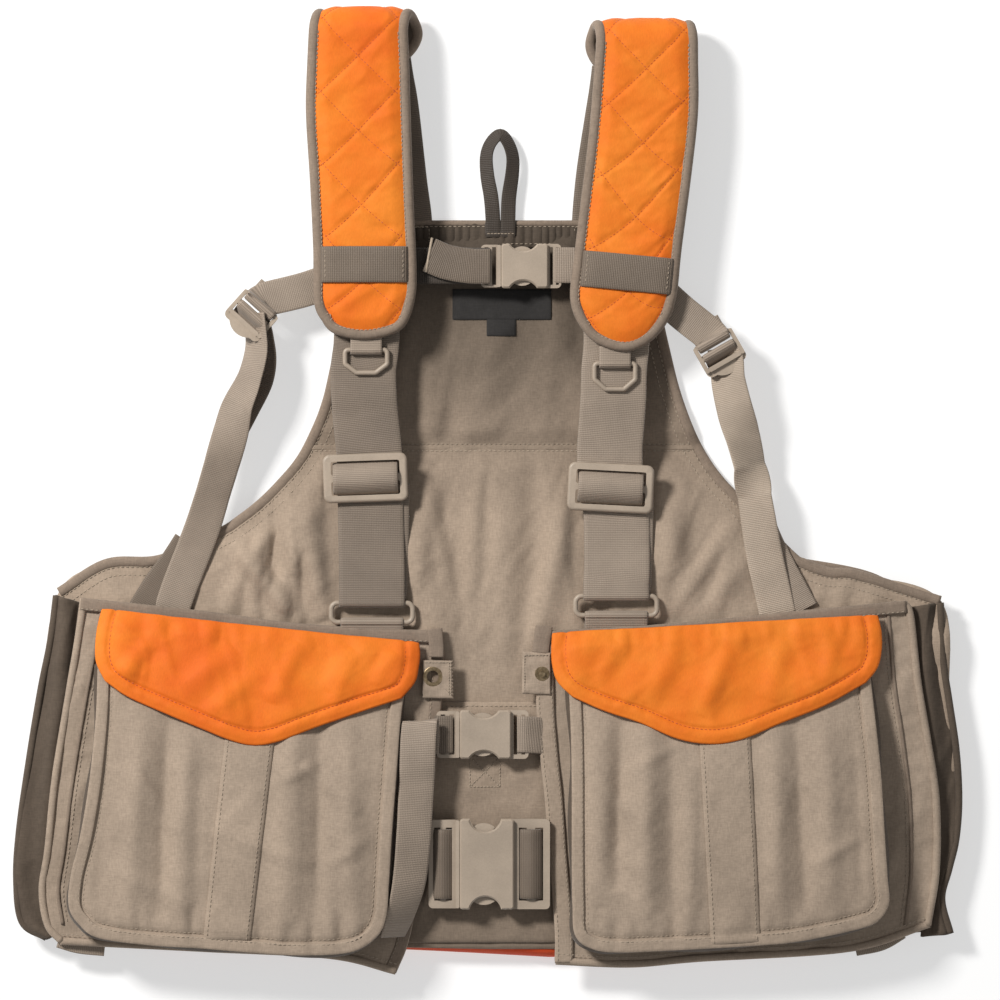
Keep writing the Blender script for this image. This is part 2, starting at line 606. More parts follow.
# Gathered hem along the yoke's top
X, Y = np.meshgrid(np.linspace(-86, 107, 300), np.linspace(188.2, 171, 14))
rng = np.random.default_rng(12)
pucker = np.sin(np.cumsum(rng.uniform(0.3, 1.5, 300)) * 0.8)
pucker = pucker * np.convolve(rng.uniform(0, 1, 300), np.ones(9) / 9, "same")
pucker = np.convolve(pucker, np.ones(3) / 3, "same")
v = (188.2 - Y) / 17.2
Z = 2.4 + 1.3 * pucker * np.sin(np.clip(v, 0, 1) * math.pi) ** 0.6 + 1.2 * np.sin(v * math.pi)
hem_low = np.dstack([X, Y, Z + 0.5 * waves(X, Y, 30, 5)])
cloth("yoke_hem_band", hem_low, 1.6, INSIDE, "gathered")
for yy in (185.4, 173.2):
    sew(level(-84, 105, yy, 160), hem_low, 1.85)
ribbon("yoke_top_edge", [(a, 187.6, 2.9 + 0.3 * math.sin(a / 5)) for a in np.linspace(-86, 107, 80)],
       ALONG, 4.6, 4.2, BINDING, ROUND)

# Bound armhole edges
yoke_and_back = np.vstack([yoke_low.reshape(-1, 3), back_low.reshape(-1, 3)])
for points, side, inward in ((ARM_LEFT, "left", 3.6), (ARM_RIGHT, "right", -3.6)):
    line = through(points, 150)
    ribbon(f"armhole_edge_{side}", on_surface(line, yoke_and_back, 1.0), flat_side(line), 7.6, 4.8, BINDING,
           ROUND)
    sew(inset(line, inward), yoke_and_back, 2.4)
    sew(inset(line, inward * 2.6), yoke_and_back, 2.2)

# Game bag's rear, curling up a little at its open sides
BAG_LEFT = [(-120, 14), (-190, -42), (-285, -70), (-300, -150), (-308, -260), (-296, -308)]
BAG_RIGHT = [(135, 14), (190, -42), (285, -70), (300, -150), (308, -260), (296, -304)]
bag_xy = patch(BAG_LEFT, BAG_RIGHT, 130, 80, [(0, 16)], [(-240, -316), (-80, -322), (60, -326), (240, -314)])
x, y = bag_xy[..., 0], bag_xy[..., 1]
z = 0.05 + 0.9 * np.abs(waves(x, y, 90, 21)) + 0.3 * np.abs(waves(x, y, 30, 22))
bag_low = np.dstack([x, y, z + 3.2 * np.clip((np.abs(x) - 230) / 80, 0, 1) ** 2])
cloth("game_bag_cloth", bag_low, 1.6, ORANGE, "laid", "game_bag_rear",
      flat=(0.616, 0.346))
for points, side in ((BAG_LEFT, "left"), (BAG_RIGHT, "right")):
    line = through(points, 110)
    ribbon(f"game_bag_edge_{side}", on_surface(line, bag_low, 0.9), flat_side(line), 7, 3.4, BINDING, ROUND)

# Orange lower edge of the bag, rolled up to meet the back panel
gx = np.linspace(-240, 240, 150)
low_line = np.interp(gx, [-240, -80, 0, 45, 90, 240], [-314, -320.5, -325, -327.5, -325, -313])
a = (np.linspace(0, 1, 12) * math.pi / 2)[:, None]
roll = np.dstack(np.broadcast_arrays(gx, low_line + 6.0 * (1 - np.cos(a)), 1.2 + 11.6 * np.sin(a)))
roll[..., 2] += 0.5 * waves(roll[..., 0], roll[..., 1] * 2, 40, 33) * np.sin(2 * a)
cloth("game_bag_lower_edge", roll[::-1], 1.3, ORANGE_DEEP, "folded", "game_bag_gusset")

# Waist lining with its hem and crossed-box stitch
X, Y = np.meshgrid(np.linspace(-130, 130, 100), np.linspace(-149, -317, 64))
Z = 15.4 + 1.3 * np.abs(folds(X, Y, 84, 50, 90, 41)) + 0.9 * np.exp(-((Y + 156) / 4) ** 2)
Z += creases(X, Y, [((-40, -180), (30, -235), 9, 1.6), ((35, -170), (-30, -225), 8, 1.2)])
lining_low = np.dstack([X, Y, Z])
cloth("waist_lining_cloth", lining_low, 1.5, INSIDE, "laid", "waist_lining")
for yy in (-151.5, -162.5):
    sew(level(-60, 70, yy, 90), lining_low, 1.75)
box = [(-12, -187), (9, -187), (9, -208), (-12, -208)]
for i, j in ((0, 1), (1, 2), (2, 3), (3, 0), (0, 2), (1, 3)):
    sew(np.linspace(box[i], box[j], 20), lining_low, 1.75, pitch=2.4, length=2.0)


def side_panel(side, outer, inner):
    """A side panel, gathered into soft pleats, with its rolled outer edge."""
    name = f"side_panel_{side}_cloth"
    xy = patch(outer, inner, 26, 110)
    x, y = xy[..., 0], xy[..., 1]
    u = np.linspace(0, 1, 26)[None, :]
    z = 14.4 + 5.0 * np.sin(u * math.pi) ** 0.7 + 2.0 * np.sin(u * math.pi * 2.3 + y / 48.0 + 0.6)
    z = np.clip(z + 1.2 * folds(x, y, 84, 18, 60, 51), 12.6, np.where(u > 0.72, 19.6, 40.0))
    cloth(name, np.dstack([x, y, z]), 1.8, CANVAS_DARK, "gathered", f"side_panel_{side}")
    edge = through(outer, 110)
    ribbon(name + "_edge", np.column_stack([edge, 17.0 + 0.6 * np.sin(edge[:, 1] / 17)]), flat_side(edge),
           5.0, 4.4, CANVAS_DARK, ROUND)


side_panel("left", [(-302, -74), (-306, -105), (-313, -140), (-321, -189), (-328, -238), (-330, -273),
                    (-326, -303), (-309, -314)],
           [(-284, -80), (-286, -110), (-288, -140), (-296, -189), (-301, -238), (-306, -273), (-304, -300),
            (-298, -312)])
side_panel("right", [(318, -79), (320, -119), (324, -147), (329, -182), (331, -217), (329, -245), (324, -266),
                     (319, -287), (325, -311)],
           [(290, -84), (293, -115), (296, -140), (303, -182), (308, -217), (308, -245), (307, -266),
            (306, -290), (304, -313)])


# ------------------------------------------------------------------ front panels
def fold_distance(x, y, fold):
    """Distance up the vest from a pocket flap's fold line."""
    (ox, oy), a = fold
    return (x - ox) * -math.sin(a) + (y - oy) * math.cos(a)


def front_panel(side, seed, top, left, right, bottom):
    """The canvas that a pocket is sewn to; flat near the front opening."""
    xy = patch(left, right, 120, 110, top[1:-1], bottom[1:-1])
    x, y = xy[..., 0], xy[..., 1]
    flat = np.clip((np.abs(x) - 66) / 20, 0, 1)
    soft = 1.3 * folds(x, y, 84, 40, 120, seed) + 0.5 * folds(x, y, 20, 18, 50, seed + 1)
    z = PANEL_Z - 0.6 + flat * soft
    low = np.dstack([x, y, z])
    cloth(f"front_panel_{side}_cloth", low, CLOTH, CANVAS, "laid", f"front_panel_{side}")
    return low


L_TOP = [(-284, -76), (-201, -85), (-131, -94), (-61, -98), (-35, -99)]
L_OUTER = [(-284, -76), (-288, -105), (-295, -147), (-304, -203), (-309, -252), (-313, -280), (-309, -305),
           (-299, -317)]
L_INNER = [(-35, -99), (-31, -119), (-34, -170), (-42, -240), (-54, -310), (-64, -338)]
L_FOOT = [(-299, -317), (-200, -322), (-110, -327), (-64, -338)]
R_TOP = [(45, -99), (130, -94), (210, -86), (293, -78)]
R_INNER = [(45, -99), (36, -110), (35, -150), (38, -189), (41, -217), (44, -259), (48, -308), (48, -331)]
R_OUTER = [(293, -78), (298, -88), (303, -133), (310, -175), (316, -217), (316, -266), (310, -305)]
R_FOOT = [(48, -331), (100, -333), (149, -329), (254, -322), (310, -305)]
left_low = front_panel("left", 61, L_TOP, L_OUTER, L_INNER, L_FOOT)
right_low = front_panel("right", 63, R_TOP, R_INNER, R_OUTER, R_FOOT)


def tape_along(name, points, width, thick, z, material, inward=0.0, rows=(), section=SECTION, over=None,
               count=120):
    """Binding tape along an edge, with rows of stitches at given distances from its middle."""
    line = inset(through(points, count), inward)
    zz = z + 0.25 * np.sin(np.arange(count) * 0.31) * np.sin(np.arange(count) * 0.083)
    if over is not None:
        zz = on_surface(line, over, z)[:, 2]
    ribbon(name, np.column_stack([line, zz]), flat_side(line), width, thick, material, section)
    for off in rows:
        q = inset(line, off)
        lift = zz + thick / 2 + 0.12 if over is None else on_surface(q, over, CLOTH + 0.35)[:, 2]
        stitch.row(np.column_stack([q, lift]))


L_SEAM = [(-270, -84), (-274, -110), (-281, -147), (-290, -203), (-296, -252), (-300, -280), (-297, -304)]
R_SEAM = [(281, -86), (285, -133), (291, -175), (296, -217), (297, -266), (293, -305)]
for tape in (
        ("top_binding_left", L_TOP, 8.8, 4.0, TOP_Z + 0.6, BINDING, -3.8, (-3.2,)),
        ("top_binding_right", R_TOP, 8.8, 4.0, TOP_Z + 0.6, BINDING, -3.8, (-3.2,)),
        ("outer_edge_left", L_OUTER, 5.4, 4.6, TOP_Z - 0.4, CANVAS, 1.6, (), ROUND),
        ("side_seam_left", L_SEAM, 2.6, 2.4, CLOTH + 0.2, BINDING, 0.0, (3.4,), ROUND, left_low),
        ("outer_edge_right", R_OUTER, 5.4, 4.6, TOP_Z - 0.4, CANVAS, -1.6, (), ROUND),
        ("side_seam_right", R_SEAM, 2.6, 2.4, CLOTH + 0.2, BINDING, 0.0, (-3.4,), ROUND, right_low),
        ("inner_binding_right", R_INNER, 12.6, 3.0, TOP_Z + 0.2, CANVAS, 5.8, (4.8, -4.2)),
        ("inner_binding_left", L_INNER, 8.6, 2.6, TOP_Z - 1.3, BINDING, -3.9, (-3.0,)),
        ("bottom_edge_left", L_FOOT, 5.4, 4.6, TOP_Z - 0.6, CANVAS, 1.2, (5.0,), ROUND),
        ("bottom_edge_right", R_FOOT, 5.4, 4.6, TOP_Z - 0.6, CANVAS, 1.2, (5.0,), ROUND)):
    tape_along(*tape)


# ------------------------------------------------------------------ pockets
def pocket(side, fold, seed, top, left, right, bottom, pleat, rows):
    """A bellows pocket: front, gusset walls, box pleat and bound edge.
    top and bottom list the points between the ends of the sides; rows lists its creases."""
    xy = patch(left, right, 110, 110, top, bottom)
    x, y = xy[..., 0], xy[..., 1]
    u = np.linspace(0, 1, 110)
    full = np.sin(u * math.pi)[None, :] ** 0.6 * np.sin(u * math.pi)[:, None] ** 0.5
    z = np.interp(-fold_distance(x, y, fold), [30, 50, 95, 140, 175, 400],
                  [33.4, 36.2, 44.8, 48.6, 49.4, 49.4])
    z += 1.8 * full - 2.6
    z += (1.1 * folds(x, y, 88, 34, 190, seed, 0.3) + 0.45 * folds(x, y, 50, 24, 50, seed + 1)) * full
    z += 1.55 * creases(x, y, rows) * np.clip(full * 1.6, 0, 1)
    up = near(xy, through([left[-1], *bottom, right[-1]], 120))
    z += 1.1 * np.exp(-((up - 14) / 11) ** 2) * waves(x, y * 0.15, 11, seed + 3)
    border = through(left + bottom + right[::-1], 260)
    z += groove(near(xy, border) - 8.5, 2.2, 1.3)
    low = np.dstack([x, y, z])
    cloth(f"pocket_front_{side}", low, 1.6, CANVAS, "laid", f"pocket_{side}")
    # gusset walls round the sides and bottom
    wall_top = on_surface(inset(border, 2.0), low, 0.6)[:, 2]
    across = flat_side(border)
    count = np.arange(len(border))
    walls = []
    for t in np.linspace(0, 1, 12):
        arch = math.sin(t * math.pi)
        out = -1.0 + 3.2 * arch - 1.5 * t + 1.1 * np.sin(count * 0.16 + 2.0 * t) * arch
        walls.append(np.column_stack([border - across[:, :2] * out[:, None],
                                      wall_top * (1 - t) + (TOP_Z + 0.4) * t]))
    cloth(f"pocket_gusset_{side}", np.array(walls), 1.2, CANVAS_DARK, "folded",
          uv=np.stack(np.meshgrid(count * 2.0, np.arange(12) * 2.0), axis=-1))
    # bound edge and its stitches
    ribbon(f"pocket_binding_{side}", on_surface(inset(border, 3.2), low, 1.2), across, 8.4, 3.0, CANVAS)
    sew(inset(border, 6.4), low, 2.9)
    sew(inset(border, 9.6), low, 1.8)
    # box pleat
    p0, p1, p2, p3 = pleat
    p_xy = patch([p0, p3], [p1, p2], 12, 60)
    pz = on_surface(p_xy.reshape(-1, 2), low, 1.55)[:, 2].reshape(60, 12)
    box_low = np.dstack([p_xy, pz + 0.9 * np.sin(np.linspace(0, 1, 12) * math.pi) ** 0.5])
    cloth(f"pocket_pleat_{side}", box_low, 1.1, CANVAS, "laid")
    sew(through([p0, p3], 60) + (2.2, 0), box_low, 1.35)
    sew(through([p1, p2], 60) - (2.2, 0), box_low, 1.35)


pocket("left", LEFT_FOLD, 71, [(-165, -133)],
       [(-271, -122), (-272, -160), (-276, -203), (-282, -240), (-289, -270), (-290, -290), (-283, -302),
        (-270, -311)],
       [(-58, -138), (-61, -160), (-64, -200), (-67, -240), (-69, -273), (-71, -297), (-78, -311),
        (-96, -321)],
       [(-235, -316), (-201, -318), (-165, -321), (-131, -323)],
       [(-182, -170), (-148, -170), (-165, -313), (-197, -312)],
       [((-240, -140), (-250, -310), 9, 2.6), ((-222, -150), (-228, -300), 6, -2.2),
        ((-208, -170), (-214, -318), 7, 2.0), ((-262, -150), (-272, -290), 6, -1.8),
        ((-134, -150), (-142, -318), 9, 2.8), ((-116, -150), (-118, -300), 6, -2.2),
        ((-98, -150), (-92, -318), 8, 2.4), ((-76, -170), (-80, -300), 6, -1.4),
        ((-190, -236), (-120, -262), 6, 1.2), ((-262, -262), (-205, -290), 7, 1.4),
        ((-128, -190), (-88, -225), 5, 1.3), ((-250, -190), (-214, -240), 5, 1.2),
        ((-150, -206), (-110, -186), 4, 0.9), ((-110, -262), (-80, -240), 5, 1.1)])
pocket("right", RIGHT_FOLD, 75, [(160, -130)],
       [(58, -135), (59.5, -170), (60, -203), (60, -235), (60, -266), (60.5, -290), (62, -309), (72, -318)],
       [(266, -122), (269, -150), (272, -180), (274, -203), (276, -240), (278, -270), (279, -287),
        (273, -298), (261, -304)],
       [(93, -321), (149, -318.5), (190, -316), (219, -313)],
       [(148, -168), (183, -168), (190, -314), (156, -316)],
       [((76, -150), (78, -290), 8, 2.6), ((94, -150), (90, -280), 7, -3.4),
        ((112, -150), (110, -310), 8, 3.2), ((130, -170), (128, -318), 7, -2.0),
        ((140, -190), (142, -318), 6, 1.8),
        ((200, -160), (204, -318), 8, 2.8), ((216, -160), (222, -300), 6, -2.2),
        ((236, -150), (240, -310), 8, 2.2), ((256, -150), (262, -290), 6, -1.8),
        ((90, -250), (140, -286), 7, 1.4), ((76, -200), (112, -236), 5, 1.3),
        ((206, -190), (250, -226), 5, 1.2), ((226, -262), (262, -240), 5, 1.2),
        ((100, -196), (136, -176), 4, 0.9)])


# ------------------------------------------------------------------ flaps
def flap(side, fold, seed, top, left, right, bottom, rows):
    """A blaze orange flap: two layers turned out, pressed and topstitched round its edge."""
    xy = patch(left, right, 120, 60, top, bottom)
    x, y = xy[..., 0], xy[..., 1]
    rim = through(left + bottom + right[::-1], 240)
    dist = near(xy, rim)
    down = near(xy, through([left[0], *top, right[0]], 160))
    middle = np.clip(dist / 16, 0, 1) * np.clip(down / 10, 0, 1)
    z = HINGE_Z + 0.3 - FLAP_SLOPE * fold_distance(x, y, fold)
    z += middle * np.maximum(1.6 + 2.2 * folds(x, y, 74, 44, 60, seed, 0.25)
                             + 0.5 * folds(x, y, 30, 24, 40, seed + 1), 0)
    z += middle * creases(x, y, rows)
    z += 1.4 * np.exp(-((down - 6) / 9) ** 2) * np.maximum(0, waves(x, y * 0.2, 15, seed + 2) + 0.2)
    thick = 2.0 + 0.9 * np.clip(dist / 12, 0, 1) + 0.7 * np.exp(-((dist - 4.5) / 3) ** 2)
    thick += groove(dist - 9.5, 1.2, 1.2) + 0.22 * np.exp(-((dist - 8) / 5) ** 2) * waves(x, y, 8, seed + 5)
    low = np.dstack([x, y, z])
    (ox, oy), lean = fold
    hinge = np.array([ox, oy, HINGE_Z]) * MM
    lower = hinge + np.array([FLAP_BEND * math.sin(lean), -FLAP_BEND * math.cos(lean), 0]) * MM
    body = ("vest", f"{side}_flap", hinge.tolist(), lower.tolist())
    cloth(f"flap_{side}_cloth", low, thick, ORANGE, "laid", f"flap_{side}",
          body=body)
    sewn = Thread(f"flap_{side}_stitches", body, THREAD_ORANGE)
    sewn.row(on_surface(inset(rim, 9.5), low + grid_normals(low) * thick[..., None], 0.15), 3.0, 2.2, 0.6)
    sewn.done()


flap("left", LEFT_FOLD, 81, [(-200, -92), (-130, -99.5)],
     [(-269, -84), (-272, -98), (-273, -110), (-272, -121), (-266, -133)],
     [(-48, -107.5), (-47.5, -115), (-48.5, -124), (-51, -134), (-60, -145)],
     [(-250, -144), (-225, -155), (-201, -165), (-178, -174), (-162, -177.5), (-146, -175), (-125, -167),
      (-90, -155)],
     [((-256, -134), (-232, -100), 6, 2.2), ((-214, -142), (-176, -112), 8, 2.6),
      ((-196, -158), (-160, -126), 6, 1.6), ((-150, -148), (-132, -108), 6, 2.4),
      ((-112, -140), (-94, -112), 6, 2.0), ((-78, -136), (-66, -114), 5, 1.4)])
flap("right", RIGHT_FOLD, 85, [(120, -97), (200, -92.5)],
     [(46, -101), (45.5, -112), (46.5, -124), (50, -134), (60, -144)],
     [(273, -88.5), (275, -100), (275, -112), (272, -124), (264, -134)],
     [(80, -153), (107, -162), (133, -173), (156, -176.5), (178, -173), (205, -162), (235, -150)],
     [((76, -138), (92, -108), 6, 1.8), ((112, -150), (134, -110), 7, 2.2),
      ((150, -158), (168, -112), 6, 2.0), ((196, -146), (208, -104), 7, 2.2),
      ((236, -134), (244, -102), 5, 1.6)])


# ------------------------------------------------------------------ shoulder pads
def places(data):
    """Vertex coordinates of a mesh."""
    co = np.zeros(len(data.vertices) * 3)
    data.vertices.foreach_get("co", co)
    return co.reshape(-1, 3)


def inflate(obj, pinned, pressure=3.0, frames=12, cap=1.0):
    """Blows a closed cloth shape up between its pinned seams and keeps the result."""
    before = places(obj.data)
    group = obj.vertex_groups.new(name="seams")
    group.add([int(i) for i in np.where(pinned)[0]], 1.0, "REPLACE")
    mod = obj.modifiers.new("cloth", "CLOTH")
    for key, value in dict(quality=6, mass=0.25, tension_stiffness=12, compression_stiffness=12,
                           shear_stiffness=5, bending_stiffness=0.6, use_pressure=True,
                           uniform_pressure_force=pressure, vertex_group_mass="seams").items():
        setattr(mod.settings, key, value)
    mod.settings.effector_weights.gravity = 0
    mod.collision_settings.use_collision = False
    mod.collision_settings.use_self_collision = False
    mod.point_cache.frame_start = 1
    mod.point_cache.frame_end = frames
    scene = bpy.context.scene
    for f in range(1, frames + 1):
        scene.frame_set(f)
    blown = obj.evaluated_get(bpy.context.evaluated_depsgraph_get())
    after = places(blown.to_mesh())
    blown.to_mesh_clear()
    obj.modifiers.remove(mod)
    obj.vertex_groups.remove(group)
    scene.frame_set(1)
    move = after - before
    length = np.linalg.norm(move, axis=1)
    move *= np.minimum(1, cap * MM / np.maximum(length, 1e-9))[:, None]
    obj.data.vertices.foreach_set("co", (before + move).ravel())
    obj.data.update()
    return before + move


def closed_pair(name, high, low, material, uv, node):
    """A closed shape between an upper and a lower grid that share their outline."""
    nv, nu = high.shape[:2]
    verts = np.vstack([high.reshape(-1, 3), low.reshape(-1, 3)])
    t = lambda i, j: i * nu + j
    b = lambda i, j: nv * nu + i * nu + j
    cells = [(i, j) for i in range(nv - 1) for j in range(nu - 1)]
    faces = [(t(i, j), t(i, j + 1), t(i + 1, j + 1), t(i + 1, j)) for i, j in cells]
    faces += [(b(i, j), b(i + 1, j), b(i + 1, j + 1), b(i, j + 1)) for i, j in cells]
    ring = outline(nv, nu)
    faces += [(t(*p), b(*p), b(*q), t(*q)) for p, q in zip(ring, ring[1:] + ring[:1])]
    return mesh(name, verts, faces, np.vstack([uv.reshape(-1, 2)] * 2), material, node=node)


QUILT_PITCH = 52.0
QUILT_PHASE = 11.0


def shoulder_pad(side, left, right, end, crown, drift, seed):
    """A quilted pad folded over the shoulder, with its bound edge."""
    mid_z = PAD_LOW + PAD_T / 2
    bend = (mid_z - PAD_T / 2) / 2
    cy = crown - bend - PAD_T / 2
    nu, nf, arc_rows, rear = 41, 116, 26, 13
    left, right = [(left[0][0], cy)] + left[1:], [(right[0][0], cy)] + right[1:]
    front = patch(left, right, nu, nf, (), end)
    rows = [np.column_stack([front[i], np.full(nu, mid_z)]) for i in range(nf)][::-1]
    xl, xr = left[0][0], right[0][0]
    for k in range(1, arc_rows):
        t = k / (arc_rows - 1)
        a = math.pi * t
        rows.append(np.column_stack([np.linspace(xl, xr, nu) + drift * t ** 1.5,
                                     np.full(nu, cy + bend * math.sin(a)),
                                     np.full(nu, mid_z - bend + bend * math.cos(a))]))
    for k in range(1, rear):
        t = k / (rear - 1)
        half = (xr - xl) / 2 * (1 - 0.22 * t ** 3)
        xs = np.linspace(-half, half, nu) + (xl + xr) / 2 + drift * (1 - 0.45 * t)
        ys = cy - 22 * t + 5.0 * t * (np.linspace(-1, 1, nu) ** 2)
        rows.append(np.column_stack([xs, ys, np.full(nu, rows[nf + arc_rows - 2][0, 2])]))
    mid = np.array(rows)
    nv = len(mid)
    along = lengths(mid[:, nu // 2])
    across = mid[..., 0] - mid[:, nu // 2, 0][:, None]
    s = along[:, None] + 0 * across
    wrap = lambda v: np.abs((v + QUILT_PHASE + QUILT_PITCH / 2) % QUILT_PITCH - QUILT_PITCH / 2) / 1.41
    quilt = np.minimum(wrap(s + across), wrap(s - across))
    u = np.linspace(-1, 1, nu)[None, :]
    to_edge = np.minimum((1 - np.abs(u)) * np.abs(across[:, -1])[:, None], along[-1] - s + 0.01)
    foot = through([left[-1], *end, right[-1]], 40)[1:-1]
    seam = np.vstack([through(left, 90), foot, through(right, 90)[::-1]])
    to_edge[:nf] = np.minimum(to_edge[:nf], near(mid[:nf, :, :2], seam))
    inner = lambda reach: np.clip(to_edge / reach, 0, 1)
    body_t = 1.9 + (PAD_T / 2 - 2.9) * np.clip((to_edge - 4.5) / 8, 0, 1) ** 0.7
    body_t = body_t - 1.0 * np.exp(-(quilt / 1.5) ** 2) * inner(9)
    body_t = body_t + 0.30 * np.exp(-quilt / 7) * inner(14) * waves(across, s, 9, seed)
    body_t = body_t + 0.70 * inner(18) * folds(across, s, 12, 22, 60, seed + 4)
    for place, tilt in ((52, 0.10), (78, -0.16), (104, 0.06), (128, -0.10), (150, 0.20)):
        crossing = 0.9 * np.exp(-((s - place - tilt * across) / 3.4) ** 2) * inner(14)
        body_t = body_t + crossing * waves(across, s * 0.2, 40, seed + place)
    n = grid_normals(mid)
    n = n * np.where(n[:nf // 2, :, 2].mean() > 0, 1, -1)
    high = mid + n * body_t[..., None]
    low = mid - n * (2.0 + 0.5 * (body_t - 2.0))[..., None]
    piece = closed_pair(f"shoulder_pad_{side}_cushion", high, low, ORANGE, np.dstack([across, s]),
                        f"shoulder_pad_{side}")
    piece.data.materials.append(CANVAS_DARK)
    for poly in piece.data.polygons[(nv - 1) * (nu - 1):]:
        poly.material_index = 1
    pins = (np.exp(-(quilt / 1.6) ** 2) > 0.35) | (to_edge < 7.5)
    top = (inflate(piece, np.r_[pins.ravel(), np.ones(nv * nu, bool)]) / MM)[:nv * nu].reshape(nv, nu, 3)
    sub = piece.modifiers.new("smooth", "SUBSURF")
    sub.levels = sub.render_levels = 1
    # bound edge
    loop = np.vstack([mid[::-1, 0], mid[0, 1:], mid[1:, -1]])
    dirs = np.vstack([mid[::-1, 1], mid[1, 1:], mid[1:, -2]]) - loop
    dirs[nv - 1] = mid[1, 1] - mid[0, 0]
    dirs[nv + nu - 2] = mid[1, -2] - mid[0, -1]
    for _ in range(12):
        dirs[1:-1] = (dirs[:-2] + dirs[1:-1] + dirs[2:]) / 3
    dirs = unit(dirs)
    path = loop + dirs * 2.2
    for _ in range(8):
        path[1:-1] = (path[:-2] + 2 * path[1:-1] + path[2:]) / 4
    ribbon(f"shoulder_pad_{side}_binding", path, dirs, 7.6, 7.4, BINDING, ROUND)
    run = loop + dirs * 5.2 + np.vstack([n[::-1, 0], n[0, 1:], n[1:, -1]]) * 3.0
    stitch.row(run[nv - nf:nv + nu + nf - 3], pitch=3.0)
    return n, top, across, along


def quilting(side, n, top, across, along):
    """Orange stitches along the diamond quilting of a pad's front."""
    sewn = Thread(f"quilting_{side}", "vest", THREAD_ORANGE)
    half = np.abs(across[:, 0])
    for sign in (1, -1):
        for c in np.arange(-4, 8) * QUILT_PITCH - QUILT_PHASE:
            pts = []
            for off in np.arange(-30, 30.1, 1.5):
                ss = c - sign * off
                if not 8 < ss < along[116] + 25:
                    continue
                i = int(np.clip(np.searchsorted(along, ss) - 1, 0, len(along) - 2))
                f = (ss - along[i]) / (along[i + 1] - along[i])
                at = lambda rows: rows[i] * (1 - f) + rows[i + 1] * f
                if abs(off) > at(half) - 5.5:
                    continue
                ac, row = at(across), at(top) + 0.15 * at(n)
                pts.append([np.interp(off, ac, row[:, k]) for k in range(3)])
            if len(pts) > 2:
                sewn.row(pts, 2.8, 2.0, 0.55)
    sewn.done()


pads = [shoulder_pad(
    "left", [(-123, 322), (-124, 300), (-125, 265), (-122, 217), (-119.5, 168), (-119, 133), (-113, 119)],
    [(-57, 322), (-56, 300), (-55, 265), (-53, 203), (-51, 154), (-52, 136), (-57, 118)],
    [(-105, 110.5), (-85, 106.5), (-65, 111)], 340, 11, 91), shoulder_pad(
    "right", [(78, 314), (77, 300), (73, 251), (67, 200), (62, 158), (60, 134), (67, 115)],
    [(146, 314), (146, 300), (146, 265), (141, 220), (134, 169), (131, 141), (126, 121)],
    [(78, 104), (97, 98), (113, 105)], 332, -8, 95)]
quilting("left", *pads[0])
quilting("right", *pads[1])


def pad_band(side, start, finish, width=25.4):
    """Webbing band sewn across a pad at both of its ends."""
    (x0, y0), (x1, y1) = start, finish
    t = np.linspace(0, 1, 40)
    z = PAD_LOW + PAD_T - 0.4 + 1.0 * np.sin(t * math.pi) ** 0.5 - 2.4 * np.abs(2 * t - 1) ** 8
    path = np.column_stack([x0 + (x1 - x0) * t, y0 + (y1 - y0) * t, z])
    d = np.array([x1 - x0, y1 - y0]) / math.hypot(x1 - x0, y1 - y0)
    ribbon(f"pad_band_{side}_webbing", path, (-d[1], d[0], 0), width, WEB_T, WEBBING_DARK,
           node=f"pad_band_{side}")
    reach = np.linspace(-width / 2 + 2, width / 2 - 2, 12)
    for k in (0.05, 0.95):
        cx, cy = x0 + (x1 - x0) * k, y0 + (y1 - y0) * k
        z0 = np.interp(k, t, z) + 1.0
        stitch.row([(cx + d[1] * a, cy - d[0] * a, z0) for a in reach])


pad_band("left", (-116, 157.5), (-55.5, 157.5))
pad_band("right", (66.5, 154.8), (129.5, 148.8))


# ------------------------------------------------------------------ webbing
def strap(name, points, side, width, thick=WEB_T, body="vest", material=WEBBING, node=None, count=120):
    """A webbing strap; side is one direction or a function of the distance along it, from 0 to 1."""
    if callable(side):
        side = np.array([side(t) for t in np.linspace(0, 1, count)])
    ribbon(name, through(points, count), side, width, thick, material, body=body, node=node)


def turn_round(x, y, z, r, start, finish, count=12):
    """Points round a bar that runs across the vest."""
    return [(x, y + r * math.sin(a), z + r * math.cos(a)) for a in np.linspace(start, finish, count)]


def front_strap(side, ring, points, material):
    """Shoulder webbing: from under the pad, under the slider, round the ring and back up."""
    rx, ry, rz = ring
    upper = ry + RING_BAR
    turn = turn_round(rx, upper, rz, 2.75, 0.35, -math.pi - 0.5)
    under = [(rx + 2.0, upper + 14, 22.6), (rx + 3.0, upper + 50, 22.4), (rx + 3.2, upper + 84, 22.4)]
    strap(f"front_webbing_{side}_strap", points + turn + under, ACROSS, 46, node=f"front_webbing_{side}",
          count=220, material=material)


LEFT_RING = (-80.5, -85.8, 25.0)
RIGHT_RING = (90.5, -81.0, 25.0)
front_strap("left", LEFT_RING, [
    (-84, 150, 24.6), (-84, 120, 24.4), (-84.5, 101, 24.6), (-86.5, 84, 25.4), (-86, 66, 25.6),
    (-85, 52, 24.2), (-82.5, 28, 23.6), (-82, 8, 23.6), (-81.5, -12, 23.6), (-81, -34, 23.9),
    (-80.5, -58, 26.4), (-80.5, -70, 27.2)], WEBBING_MID)
front_strap("right", RIGHT_RING, [
    (90.5, 150, 24.6), (90.5, 120, 24.4), (90.5, 101, 24.6), (89, 84, 25.2), (88.5, 66, 25.4),
    (87.5, 50, 24.4), (86, 28, 23.6), (87, 6, 23.6), (90.5, -16, 23.6), (91, -38, 23.9),
    (91, -55, 26.4), (90.5, -65, 27.2)], WEBBING)

